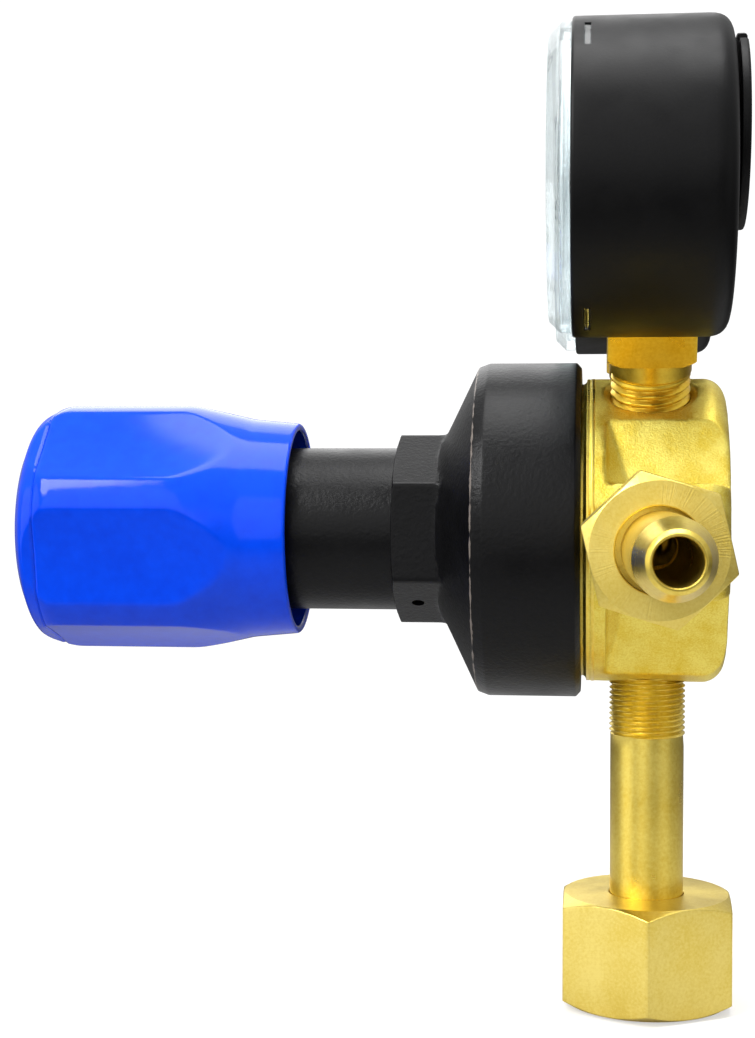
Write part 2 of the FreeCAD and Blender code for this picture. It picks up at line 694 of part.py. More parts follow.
def gauge_movement():
    plates = []
    for x in (plate_front, plate_rear):
        plate = Part.makeBox(0.8, 22, 19, V(x, -11, -16.5))
        plate = plate.cut(cyl_x(0.7 + running, x - 1, x + 2))
        plates.append(plate.cut(cyl_x(0.7 + running, x - 1, x + 2, 0, sector_z())))
    frame = plates[0].fuse(plates[1])
    for y in (-4.5, 9.0):
        frame = frame.fuse(cyl_x(1.3, plate_front + 0.4, plate_rear + 0.4, y, 1.0))
    for y in (-9.0, 9.0):
        frame = frame.cut(cyl_x(0.8, plate_front - 1, plate_front + 1, y, -4.0))
    foot = Part.makeBox(plate_rear - plate_front, 12, 2.2, V(plate_front, -6, -16.5))
    return frame.fuse(foot)


def gauge_socket():
    low = block_low - gauge_centre
    high = block_high - gauge_centre
    block = Part.makeBox(block_w, block_w, high - low, V(-block_w / 2, -block_w / 2, low))
    thread = lathe_z([
        (low + 1, 0), (low + 1, stem_thread_r - 0.4), (low - 1.6, stem_thread_r - 0.4), (low - 2.0, stem_thread_r),
        (stem_end - gauge_centre + 1, stem_thread_r), (stem_end - gauge_centre, stem_thread_r - 0.7),
        (stem_end - gauge_centre, 0)])
    shoe = cyl_x(tube_r + 2.5, -2.5, 5.0).cut(cyl_x(tube_r - 2.5, -3, 6))
    shoe = shoe.common(fan(158, tube_start - 90, 30, -3, 6))
    web = Part.makeBox(7.5, 10, 3.5, V(-2.5, -5, high - 0.5))
    foot = Part.makeBox(8.2, 12, -16.5 - high + 0.5, V(plate_front + 0.8, -6, high - 0.5))
    piece = block.fuse(thread).fuse(shoe).fuse(web).fuse(foot)
    piece = piece.cut(cyl(1.5, (0, 0, -60), (0, 0, high)))
    piece = piece.cut(cyl(0.9, (1.0, 0, high - 2), (1.0, 0, -16.0)))
    return piece.cut(cyl(0.7, (1.0, 0, -16.0), (1.0, 8, -16.0)))


def gauge_bourdon_tube():
    first = tube_start - 90
    last = tube_end - 90
    tube = cyl_x(tube_r + 1, -1.5, 4.5).cut(cyl_x(tube_r - 1, -2, 5))
    tube = tube.common(fan(first, last, 40, -2, 5))
    hollow = cyl_x(tube_r + 1 - tube_wall, -1.5 + tube_wall, 4.5 - tube_wall)
    hollow = hollow.cut(cyl_x(tube_r - 1 + tube_wall, -2, 5)).common(fan(first, last - 4, 40, -2, 5))
    a = math.radians(tube_end - 2)
    lug = cyl_x(0.9, plate_rear - 1.4, -1.4, tube_r * math.cos(a), tube_r * math.sin(a))
    return tube.cut(hollow).fuse(lug)


def gauge_link():
    a = math.radians(tube_end - 2)
    x = gear_x + gear_t + 0.15 + 0.45
    top = (x, tube_r * math.cos(a) + 1.5, tube_r * math.sin(a) - 0.3)
    bar = cyl(0.45, (x, -lever, sector_z()), top)
    return bar.fuse(cyl_x(0.42, gear_x - 0.3, x, -lever, sector_z()))


def gauge_disc():
    disc = cyl_x(disc_r, disc_x, disc_x + disc_t, 0, disc_offset)
    rim = [e for e in disc.Edges if abs(e.CenterOfMass.x - disc_x - disc_t) < 0.01]
    disc = disc.makeFillet(0.5, rim)
    plug = cyl_x(8.0, case_back - case_wall - 0.4, disc_x + 0.5, 0, disc_offset)
    return disc.fuse(plug)


GAUGE_PIECES = {
    "case": gauge_case, "lens": gauge_lens, "dial": gauge_dial, "dial_screws": gauge_dial_screws,
    "pointer": gauge_pointer, "pinion": gauge_pinion, "sector": gauge_sector, "movement": gauge_movement,
    "socket": gauge_socket, "bourdon_tube": gauge_bourdon_tube, "link": gauge_link, "blowout_disc": gauge_disc}

PIECES = [
    body, bonnet, knob, knob_cap, adjusting_screw, spring_button, range_spring, diaphragm_plate, diaphragm,
    diaphragm_washer, slip_ring, nozzle, poppet, seat_disc, poppet_spring, inlet_nipple, inlet_filter,
    inlet_nut, inlet_washer, outlet_adapter, outlet_nut, outlet_tail, relief_body, relief_seat,
    relief_poppet, relief_spring, relief_cap, relief_ring]


def save(name, shape):
    shape.translate(V(0, 0, axis_height))
    shape.exportStep("parts/" + name + ".step")


os.makedirs("parts", exist_ok=True)
for make in PIECES:
    save(make.__name__, make())
for label, turn in (("low", gauge_tilt), ("high", -gauge_tilt)):
    for part, make in GAUGE_PIECES.items():
        piece = make()
        piece.translate(V(0, 0, gauge_centre))
        piece.rotate(V(0, 0, 0), V(1, 0, 0), turn)
        save(label + "_" + part, piece)
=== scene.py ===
import json
import math

import bmesh
import bpy
import numpy as np
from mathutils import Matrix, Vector, noise


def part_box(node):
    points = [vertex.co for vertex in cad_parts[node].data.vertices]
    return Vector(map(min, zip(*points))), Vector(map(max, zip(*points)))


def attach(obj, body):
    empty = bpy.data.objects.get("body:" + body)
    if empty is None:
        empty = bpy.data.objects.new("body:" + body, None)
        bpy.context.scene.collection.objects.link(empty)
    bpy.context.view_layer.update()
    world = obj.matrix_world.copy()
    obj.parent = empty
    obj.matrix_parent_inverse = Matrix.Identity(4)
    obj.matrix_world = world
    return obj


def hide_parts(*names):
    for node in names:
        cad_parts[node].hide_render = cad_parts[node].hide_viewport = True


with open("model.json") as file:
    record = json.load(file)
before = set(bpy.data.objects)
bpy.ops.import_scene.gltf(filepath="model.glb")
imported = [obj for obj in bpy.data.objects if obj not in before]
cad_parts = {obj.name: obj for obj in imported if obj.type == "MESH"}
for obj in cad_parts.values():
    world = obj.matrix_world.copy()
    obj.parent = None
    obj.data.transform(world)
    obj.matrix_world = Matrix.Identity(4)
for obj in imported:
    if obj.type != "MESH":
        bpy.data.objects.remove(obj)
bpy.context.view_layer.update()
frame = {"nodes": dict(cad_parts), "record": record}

# A carbon dioxide regulator: blue knob, black bonnet, brass body, inlet nipple and nut,
# hose tail with its nut, relief valve, and two gauges in a V. Sizes here are in millimetres.
MM = 0.001
X, Y, Z = Vector((1, 0, 0)), Vector((0, 1, 0)), Vector((0, 0, 1))
LOW = {name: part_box(name)[0] / MM for name in frame["nodes"]}
HIGH = {name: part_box(name)[1] / MM for name in frame["nodes"]}
SLOTS = {part["node"]: part["material_slot"] for part in frame["record"]["subparts"]}
MOUNTS = {mount["name"]: mount for mount in frame["record"]["mounts"]}


def middle(node):
    return (LOW[node] + HIGH[node]) / 2


AXIS = Vector((0, middle("bonnet").y, middle("bonnet").z))      # knob axis over the inlet axis


# ---------------------------------------------------------------- shaping

def rounded(points, steps=4):
    """An outline with its corners rounded. A point is (along, radius) or (along, radius, corner)."""
    out = []
    for i, point in enumerate(points):
        here = Vector(point[:2])
        if len(point) < 3:
            out.append(tuple(here))
            continue
        back = Vector(points[i - 1][:2]) - here
        on = Vector(points[(i + 1) % len(points)][:2]) - here
        cut = min(point[2] / math.tan(back.angle(on) / 2), back.length * 0.49, on.length * 0.49)
        start, end = here + back.normalized() * cut, here + on.normalized() * cut
        for k in range(steps + 1):
            t = k / steps
            out.append(tuple(start * (1 - t) ** 2 + here * 2 * t * (1 - t) + end * t * t))
    return out


def stepped(outline, coarse=1.5, fine=None, loop=False):
    """Splits an outline's long runs. fine is (from, to, step) for a stretch that needs more."""
    out = []
    pairs = list(zip(outline, outline[1:] + outline[:1]))
    for (s0, r0), (s1, r1) in pairs if loop else pairs[:-1]:
        step = coarse
        if fine and min(s0, s1) >= fine[0] - 1e-6 and max(s0, s1) <= fine[1] + 1e-6:
            step = fine[2]
        count = max(1, math.ceil(math.hypot(s1 - s0, r1 - r0) / step))
        out += [(s0 + (s1 - s0) * k / count, r0 + (r1 - r0) * k / count) for k in range(count)]
    return out if loop else out + [outline[-1]]


def soft_min(a, b, blend):
    return (a + b - np.sqrt((a - b) ** 2 + blend ** 2)) / 2


def soft_max(a, b, blend):
    return (a + b + np.sqrt((a - b) ** 2 + blend ** 2)) / 2


def flats(turn, across, sides, corner, crisp=150):
    """Radius of a bar with flat sides at each angle. corner is the angle of one corner in degrees."""
    total = 0
    for k in range(sides):
        face = math.radians(corner + (k + 0.5) * 360 / sides)
        total = total + np.maximum(np.cos(turn - face), 0) ** crisp
    return across / 2 / total ** (1 / crisp)


def thread(s, turn, pitch, depth, start, end):
    """Depth below the crest of a vee thread between start and end, fading over a turn at each end."""
    wave = np.abs(2 * ((s / pitch - turn / (2 * math.pi)) % 1) - 1)
    fade = np.clip((s - start) / pitch, 0, 1) * np.clip((end - s) / pitch, 0, 1)
    return depth * np.clip(wave * 1.25 - 0.12, 0, 1) * fade


def new_piece(name, mesh):
    piece = bpy.data.objects.new(name, mesh)
    bpy.context.scene.collection.objects.link(piece)
    return piece


def spun(name, place, outline, turns=180, form=None, loop=False, sharp=28):
    """A turned piece on place (origin, axis, across). form(s, r, turn) changes the radius round the turn.

    The outline starts inside at its low end, goes out, along the outside, in, and for a loop back."""
    origin, axis, across = place
    side = axis.cross(across)
    s = np.array([p[0] for p in outline])[:, None] + np.zeros((1, turns))
    r = np.array([p[1] for p in outline])[:, None] + np.zeros((1, turns))
    turn = np.linspace(0, 2 * math.pi, turns, endpoint=False)[None, :] + np.zeros_like(s)
    if form:
        r = np.where(r > 1e-6, form(s, r, turn), r)
    around = np.cos(turn)[..., None] * np.array(across) + np.sin(turn)[..., None] * np.array(side)
    points = np.array(origin) + s[..., None] * np.array(axis) + r[..., None] * around
    rows, columns = s.shape
    i, j = np.meshgrid(np.arange(rows if loop else rows - 1), np.arange(columns), indexing="ij")
    up, on = (i + 1) % rows, (j + 1) % columns
    quads = np.stack([i * columns + j, i * columns + on, up * columns + on, up * columns + j], -1)
    mesh = bpy.data.meshes.new(name)
    mesh.from_pydata((points.reshape(-1, 3) * MM).tolist(), [], quads.reshape(-1, 4).tolist())
    turned = np.stack([s, r, turn], -1).reshape(-1, 3).astype(np.float32)
    mesh.attributes.new("turned", "FLOAT_VECTOR", "POINT").data.foreach_set("vector", turned.ravel())
    if not loop:
        weld(mesh)
    mesh.shade_smooth()
    mesh.set_sharp_from_angle(angle=math.radians(sharp))
    return new_piece(name, mesh)


def weld(mesh):
    """Joins the points that meet on the axis."""
    work = bmesh.new()
    work.from_mesh(mesh)
    bmesh.ops.remove_doubles(work, verts=work.verts, dist=1e-8)
    work.to_mesh(mesh)
    work.free()


def settle(piece, sharp=28):
    """Applies a piece's modifiers."""
    bpy.context.view_layer.update()
    made = piece.evaluated_get(bpy.context.evaluated_depsgraph_get())
    mesh = bpy.data.meshes.new_from_object(made)
    piece.modifiers.clear()
    piece.data = mesh
    mesh.shade_smooth()
    mesh.set_sharp_from_angle(angle=math.radians(sharp))


def drill(piece, place, radius, start, end):
    """Cuts a round hole along place's axis."""
    tool = spun("drill", place, [(start, 0), (start, radius), (end, radius), (end, 0)], turns=32)
    cut = piece.modifiers.new("hole", "BOOLEAN")
    cut.object = tool
    cut.solver = "EXACT"
    settle(piece)
    bpy.data.objects.remove(tool)


def finished(piece, slot, body, *nodes):
    """Gives a piece its finish and lets it ride with its body, in place of its CAD nodes if any."""
    piece.data.materials.clear()
    piece.data.materials.append(FINISHES[slot])
    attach(piece, body)
    if nodes:
        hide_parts(*nodes)


# ---------------------------------------------------------------- finishes

def linear(code):
    """An sRGB hex colour as linear red, green, blue and alpha."""
    parts = [int(code[k:k + 2], 16) / 255 for k in (0, 2, 4)]
    return [c / 12.92 if c <= 0.04045 else ((c + 0.055) / 1.055) ** 2.4 for c in parts] + [1.0]


def add(tree, kind, sockets=None, **settings):
    """Adds a node with its settings, and gives its sockets values or links."""
    made = tree.nodes.new("ShaderNode" + kind)
    for name, value in settings.items():
        setattr(made, name, value)
    for name, value in (sockets or {}).items():
        if isinstance(value, bpy.types.NodeSocket):
            tree.links.new(value, made.inputs[name])
        else:
            made.inputs[name].default_value = value
    return made


BAR_R = 14.0                # half width of drawn bar, for the spacing of its die marks
STREAK = 16.666667          # length of a die mark
STREAK_DEPTH = 0.03


def finish(name, light, dark, rough, grain, relief, sockets=None, lines=0.0, line_relief=0.0, drawn=0.0):
    """A finish that wanders between two colours and two roughnesses.

    grain is its texture's size in mm and relief that texture's depth in mm.
    lines is the spacing in mm of tool marks round a turned piece, line_relief their depth in mm,
    and drawn the spacing in mm of marks along a bar."""
    made = bpy.data.materials.new(name)
    made.use_nodes = True
    tree = made.node_tree
    tree.nodes.clear()
    place = add(tree, "TexCoord").outputs["Object"]
    mm = add(tree, "Mapping", {"Vector": place, "Scale": (1 / MM, 1 / MM, 1 / MM)}).outputs[0]
    fine = add(tree, "TexNoise", {"Vector": mm, "Scale": 1 / grain, "Detail": 3.0, "Roughness": 0.6})
    broad = add(tree, "TexNoise", {"Vector": mm, "Scale": 1 / (grain * 14), "Detail": 3.0})
    drift = add(tree, "Math", {0: fine.outputs[0], 1: broad.outputs[0]}, operation="ADD")
    share = add(tree, "MapRange", {"Value": drift.outputs[0], "From Min": 0.75, "From Max": 1.25})
    colour = add(tree, "Mix", {0: share.outputs[0], 6: linear(dark), 7: linear(light)}, data_type="RGBA")
    gloss = add(tree, "MapRange", {
        "Value": broad.outputs[0], "From Min": 0.3, "From Max": 0.7, "To Min": rough[0], "To Max": rough[1]})
    height = add(tree, "Math", {0: fine.outputs[0], 1: relief * MM}, operation="MULTIPLY").outputs[0]
    if lines:
        turned = add(tree, "Attribute", attribute_name="turned").outputs["Vector"]
        part = add(tree, "SeparateXYZ", {0: turned})
        along = add(tree, "Math", {0: part.outputs[0], 1: part.outputs[1]}, operation="ADD").outputs[0]
        marks = add(tree, "TexNoise", {"W": along, "Scale": 1 / lines, "Detail": 2.0}, noise_dimensions="1D")
        cut = add(tree, "Math", {0: marks.outputs[0], 1: line_relief * MM}, operation="MULTIPLY").outputs[0]
        height = add(tree, "Math", {0: height, 1: cut}, operation="ADD").outputs[0]
        if drawn:
            arc = add(tree, "Math", {0: part.outputs[2], 1: BAR_R / drawn}, operation="MULTIPLY").outputs[0]
            far = add(tree, "Math", {0: part.outputs[0], 1: 1 / STREAK}, operation="MULTIPLY").outputs[0]
            sheet = add(tree, "CombineXYZ", {0: arc, 1: far}).outputs[0]
            streak = add(tree, "TexNoise", {"Vector": sheet, "Scale": 1.0, "Detail": 2.0})
            pull = add(tree, "Math", {0: streak.outputs[0], 1: STREAK_DEPTH * MM}, operation="MULTIPLY")
            height = add(tree, "Math", {0: height, 1: pull.outputs[0]}, operation="ADD").outputs[0]
    bump = add(tree, "Bump", {"Height": height, "Distance": 1.0, "Strength": 1.0})
    shader = add(tree, "BsdfPrincipled", {
        "Base Color": colour.outputs[2], "Roughness": gloss.outputs[0], "Normal": bump.outputs[0],
        **(sockets or {})})
    add(tree, "OutputMaterial", {"Surface": shader.outputs[0]})
    return made


def painted_sheen_ring(made, spot, colour):
    """Paints a highlight into the colour: a thin, broken pale line round the X axis at spot, standing for the
    sheen along the edge there.
    """
    tree = made.node_tree
    shader = next(n for n in tree.nodes if n.type == "BSDF_PRINCIPLED")
    paint = shader.inputs["Base Color"].links[0].from_socket
    place = add(tree, "TexCoord").outputs["Object"]
    along = add(tree, "SeparateXYZ", {0: place}).outputs[0]
    off = add(tree, "Math", {0: along, 1: spot * MM}, operation="SUBTRACT").outputs[0]
    far = add(tree, "Math", {0: off}, operation="ABSOLUTE").outputs[0]
    patch = add(tree, "TexNoise", {"Vector": place, "Scale": 0.45 / MM, "Detail": 2.0}).outputs[0]
    width = add(tree, "MapRange", {
        "Value": patch, "From Min": 0.35, "From Max": 0.65, "To Max": 0.22 * MM}).outputs[0]
    # Painted highlight: where this mask is on, the paint's colour gives way to a pale line standing for sheen.
    sheen_line = add(tree, "Math", {0: far, 1: width}, operation="LESS_THAN").outputs[0]
    both = add(tree, "Mix", {0: sheen_line, 6: paint, 7: linear(colour)}, data_type="RGBA")
    tree.links.new(both.outputs[2], shader.inputs["Base Color"])


CLEAR_SHARE = 0.55          # of the light that goes straight through


def clear(name, tint):
    """A clear moulding: refracts at its edges and lets lamps reach the dial."""
    made = finish(name, tint, tint, (0.01, 0.04), 3.0, 0.0006, {"Transmission Weight": 1.0, "IOR": 1.585})
    tree = made.node_tree
    shader = next(n for n in tree.nodes if n.type == "BSDF_PRINCIPLED")
    out = next(n for n in tree.nodes if n.type == "OUTPUT_MATERIAL")
    shadow = add(tree, "LightPath").outputs["Is Shadow Ray"]
    share = add(tree, "Math", {0: shadow, 1: CLEAR_SHARE}, operation="MAXIMUM").outputs[0]
    open_side = add(tree, "BsdfTransparent", {"Color": linear(tint)})
    both = add(tree, "MixShader", {0: share, 1: shader.outputs[0], 2: open_side.outputs[0]})
    tree.links.new(both.outputs[0], out.inputs["Surface"])
    return made


METAL = {"Metallic": 1.0}
BLACK = {"IOR": 1.36, "Specular IOR Level": 0.3}
# Tool marks are really 0.1 mm apart or finer; they are drawn two or three times coarser, so that they show.
FINISHES = {
    # Brass forging, shot blasted and bright dipped: a soft grain with broad bright and dull patches
    "forged_brass": finish("forged_brass", "F8E878", "E4C642", (0.36, 0.5), 0.3, 0.075, METAL),
    # Brass turned on a lathe: bright, with fine rings from the tool
    "turned_brass": finish("turned_brass", "F4DC6E", "E6C650", (0.26, 0.38), 0.6, 0.006, METAL, 0.22, 0.016),
    # Hexagon bar, drawn: marks run along the flats, rings on the faced ends
    "drawn_brass": finish(
        "drawn_brass", "F2DC7C", "E6CA5E", (0.28, 0.42), 0.5, 0.006, METAL, 0.3, 0.012, 0.35),
    # Gauge stem brass, machined from bar: richer in colour and brighter
    "gauge_brass": finish("gauge_brass", "F4D04C", "E2B632", (0.26, 0.38), 0.5, 0.006, METAL, 0.2, 0.008),
    # Sintered bronze filter: coarse open grains
    "sintered_bronze": finish("sintered_bronze", "B08A4A", "7A5A2C", (0.5, 0.7), 0.25, 0.12, METAL),
    # Black enamel on a casting: semi gloss over a soft cast skin
    "black_enamel": finish("black_enamel", "09090B", "040405", (0.28, 0.4), 0.7, 0.07, BLACK),
    # Powder coat on pressed steel: satin with a fine orange peel
    "black_powder_coat": finish("black_powder_coat", "09090A", "050506", (0.38, 0.48), 0.4, 0.016, BLACK),
    # Black moulded polypropylene: satin, a little greyer than the enamel
    "black_moulding": finish("black_moulding", "0B0B0C", "060607", (0.4, 0.55), 0.5, 0.01, BLACK),
    # ABS moulding from a polished tool: deep blue, glossy, a little sink and orange peel
    "blue_plastic": finish(
        "blue_plastic", "0346EA", "023EDC", (0.07, 0.13), 2.5, 0.002, {"IOR": 1.4, "Specular IOR Level": 0.28}),
    # Zinc plated steel: pale grey, half bright
    "plated_steel": finish("plated_steel", "D6D6D2", "B4B4B2", (0.25, 0.4), 0.4, 0.008, METAL),
    # Bright drawn spring wire: a darker grey than the plating, with the same shine
    "spring_steel": finish("spring_steel", "B9B9B9", "8F8F90", (0.25, 0.4), 0.4, 0.01, METAL),
    # Rubber: matt black
    "black_rubber": finish("black_rubber", "1C1C1C", "121212", (0.7, 0.85), 0.4, 0.02, {"IOR": 1.52}),
    # Nylon: off white, satin
    "white_nylon": finish("white_nylon", "EFECE2", "E2DFD2", (0.4, 0.55), 0.8, 0.01, {"IOR": 1.53}),
    # White enamel on the dial plate, satin
    "white_dial": finish("white_dial", "F6F6F2", "EFEFEA", (0.38, 0.48), 0.8, 0.002, {"IOR": 1.5}),
    # Black ink and paint on the dial and pointer: flat black
    "black_pointer": finish("black_pointer", "101012", "070708", (0.4, 0.5), 0.5, 0.002, {"IOR": 1.5}),
    # Polished polycarbonate: clear, a trace of blue at its edges
    "clear_polycarbonate": clear("clear_polycarbonate", "F6FAFB"),
}
SHEEN_BACK = 17.5            # from the bonnet's seat to the edge where its cone meets its drum
# A painted highlight: a pale line along the edge where the cone meets the drum, painted into the enamel's colour.
painted_sheen_ring(FINISHES["black_enamel"], HIGH["bonnet"].x - SHEEN_BACK, "6E6660")

for name, node in frame["nodes"].items():
    node.data.materials.clear()
    node.data.materials.append(FINISHES[SLOTS[name]])
    node.data.shade_smooth()


# ---------------------------------------------------------------- knob and bonnet

KNOB = (AXIS, X, Y)
KNOB_R = 21.6
SKIRT_R = 18.4
SKIRT_WALL = 1.3
CAP_RIM_R = 17.2
FLUTE_FLOOR = 19.55
FLUTE_R = 110.0
FLUTE_COUNT = 6
FLUTE_TURN = math.radians(12)
SEAM = 0.22, 0.12           # parting line's depth and half width
SCREW_R = 4.76
WEB_BACK = 21.2             # from the seam to the web that the screw goes through


def flute(turn):
    """Distance from the axis to the nearest flute's long round floor."""
    step = 2 * math.pi / FLUTE_COUNT
    off = (turn - FLUTE_TURN + step / 2) % step - step / 2
    centre = FLUTE_FLOOR + FLUTE_R
    return centre * np.cos(off) - np.sqrt(FLUTE_R ** 2 - (centre * np.sin(off)) ** 2)


def knob_form(s, r, turn):
    """Flutes on the outside only, and a fine parting line where the cap meets the knob."""
    cut = soft_min(r, flute(turn), 0.12) - SEAM[0] * np.exp(-((s - LOW["knob"].x) / SEAM[1]) ** 2)
    return np.where(r > CAP_RIM_R + 0.1, cut, r)


def knob():
    left, seam, end = LOW["knob_cap"].x, LOW["knob"].x, HIGH["knob"].x
    profile = stepped(rounded([
        (left, 6.0), (left, KNOB_R - 6.5, 4.0), (left + 2.0, KNOB_R - 2.2, 4.0), (left + 6.0, KNOB_R, 6.0),
        (end - 18.5, KNOB_R, 14.0), (end - 8, SKIRT_R + 0.75, 12.0), (end, SKIRT_R, 0.6),
        (end, SKIRT_R - SKIRT_WALL, 0.6), (end - 15, SKIRT_R - SKIRT_WALL - 0.5)], 8), 0.5)
    front = [p for p in profile if p[0] < seam]
    back = [p for p in profile if p[0] > seam]
    (s0, r0), (s1, r1) = front[-1], back[0]
    edge = r0 + (r1 - r0) * (seam - s0) / (s1 - s0)
    cap = front + [(seam - 0.02, edge), (seam - 0.02, CAP_RIM_R), (seam + 3, CAP_RIM_R, 0.2),
                   (seam + 3, CAP_RIM_R - 1.4), (seam + 0.8, CAP_RIM_R - 1.4), (seam + 0.8, 0)]
    cap = [(left, 0)] + rounded(cap)
    piece = spun("knob_cap_fluted", KNOB, stepped(cap, 0.5), 360, knob_form, sharp=35)
    finished(piece, "blue_plastic", "knob", "knob_cap")
    web = seam + WEB_BACK
    ring = [(seam + 0.02, CAP_RIM_R + 0.04), (seam + 0.02, edge)] + back + rounded([
        (web + 4, SKIRT_R - SKIRT_WALL - 0.6, 1.0), (web + 4, SCREW_R), (web, SCREW_R), (web, 8.1),
        (web - 4, 8.1), (web - 4, 10.0), (web, 10.0, 0.8), (web, CAP_RIM_R + 0.04, 0.8)])
    piece = spun("knob_fluted", KNOB, stepped(ring, 1.5, loop=True), 360, knob_form, loop=True, sharp=35)
    finished(piece, "blue_plastic", "knob", "knob")


NECK_R = 14.1
DRUM_R = 28.75
BONNET_HEX = 28.575
SPRING_BORE_R = 11.5
CHAMBER_R = 17.0
COLLAR_R = 24.62
VENT_R = 1.1


def bonnet():
    tip, seat = LOW["bonnet"].x, HIGH["bonnet"].x
    hex_start, hex_end = tip + 20.8, tip + 28.7

    def form(s, r, turn):
        rise = np.clip(BONNET_HEX / 2 - 0.05 + (s - hex_start) * 5, 0, BONNET_HEX / math.sqrt(3) + 0.1)
        nut = soft_min(flats(turn, BONNET_HEX, 6, 90, 110), rise, 0.12)
        inside = (r > SPRING_BORE_R + 0.5) & (s >= hex_start) & (s < hex_end + 1.6)
        return np.where(inside, soft_max(r, nut, 0.1 + 0.5 * np.clip(s - hex_end + 1, 0, 1)), r)

    outline = rounded([
        (tip, SCREW_R, 0.3), (tip, NECK_R, 0.7), (hex_start - 0.02, NECK_R), (hex_start, NECK_R),
        (hex_start + 1.6, NECK_R), (hex_end - 0.4, NECK_R, 0.5), (hex_end + 6.4, DRUM_R - 0.65, 0.35),
        (hex_end + 8.2, DRUM_R, 1.6), (seat - 0.8, DRUM_R, 0.5), (seat, DRUM_R - 0.9, 0.3),
        (seat, COLLAR_R), (seat - 10.8, COLLAR_R), (seat - 10.8, CHAMBER_R), (seat - 15.1, CHAMBER_R),
        (seat - 21.6, SPRING_BORE_R), (tip + 8, SPRING_BORE_R), (tip + 8, SCREW_R)])
    outline = stepped(outline, 1.2, (hex_start - 0.1, hex_end + 3, 0.13), loop=True)
    piece = spun("bonnet_enamelled", KNOB, outline, 360, form, loop=True)
    down = math.radians(-60)        # the middle of the flat that the vent is drilled in
    out = Vector((0, -math.cos(down), math.sin(down)))
    drill(piece, (AXIS + X * (hex_start + 4.1), out, X), VENT_R, 9, 20)
    finished(piece, "black_enamel", "regulator", "bonnet")


# ---------------------------------------------------------------- body

BODY_R = 26.0
SKIN = 0.36                 # mesh size of the forging, for its rounded edges and rough skin


def body():
    piece = new_piece("body_forging", frame["nodes"]["body"].data.copy())
    remesh = piece.modifiers.new("skin", "REMESH")
    remesh.mode = "VOXEL"
    remesh.voxel_size = SKIN * MM
    ease = piece.modifiers.new("ease", "SMOOTH")
    ease.factor = 0.5
    ease.iterations = 4
    settle(piece, 180)
    rough_forging(piece.data)
    finished(piece, "forged_brass", "regulator", "body")
    face = LOW["body"].x + 9.0
    outline = stepped(rounded([
        (face, 23.0), (face, BODY_R - 0.9, 0.1), (face + 0.9, BODY_R - 0.9), (face + 0.9, BODY_R - 0.05, 0.12),
        (face + 1.45, BODY_R - 0.05, 0.12), (face + 1.45, BODY_R - 0.5), (face + 1.7, BODY_R - 0.5),
        (face + 1.7, BODY_R + 0.02, 0.12), (face + 2.3, BODY_R + 0.02, 0.2),
        (face + 2.5, 23.0)]), 1.0, loop=True)
    rim = spun("body_machined_rim", KNOB, outline, 360, loop=True)
    finished(rim, "turned_brass", "regulator")


def rough_forging(mesh):
    """Pushes the skin in and out a little, as forged metal is: broad swells and a fine blasted skin."""
    count = len(mesh.vertices)
    spots = np.zeros(count * 3, np.float32)
    mesh.vertices.foreach_get("co", spots)
    spots = spots.reshape(-1, 3)
    out = np.zeros(count * 3, np.float32)
    mesh.vertex_normals.foreach_get("vector", out)
    out = out.reshape(-1, 3)
    push = np.array([
        0.05 * noise.noise(Vector(p) / (3.5 * MM)) + 0.022 * noise.noise(Vector(p) / (0.9 * MM))
        for p in spots])
    axial = spots[:, 0] / MM
    radial = np.hypot(spots[:, 1] / MM - AXIS.y, spots[:, 2] / MM - AXIS.z)
    outer = np.clip((radial - 17) / 3, 0, 1) * np.clip((axial + 9.2) / 1.0, 0, 1)
    spots = spots + out * (push * outer * MM)[:, None] - out * (0.03 * MM)
    mesh.vertices.foreach_set("co", spots.ravel())
    mesh.update()


# ---------------------------------------------------------------- inlet

NIPPLE = (AXIS, Z, X)
NIPPLE_R = 6.3
NIPPLE_THREAD_R = 6.6
FLANGE_R = 9.0
WRENCH = 28.575
NUT_THREAD_R = 9.5
NIPPLE_PITCH = 0.907        # 28 threads to the inch
NUT_PITCH = 1.81            # 14 threads to the inch


def hexagon_nut(low, high, across, chamfer, corner, crisp=170):
    """Outline points, form and chamfer height of a hexagon nut whose ends are turned back."""
    edge, wide = across / 2 * 0.985, across / math.sqrt(3) + 0.05
    rise = (wide - edge) * chamfer
    envelope = [(low, edge, 0.15), (low + rise, wide), (high - rise, wide), (high, edge, 0.15)]

    def form(s, r, turn):
        return np.where(r > edge - 1.2, soft_min(r, flats(turn, across, 6, corner, crisp), 0.09), r)

    return envelope, form, rise


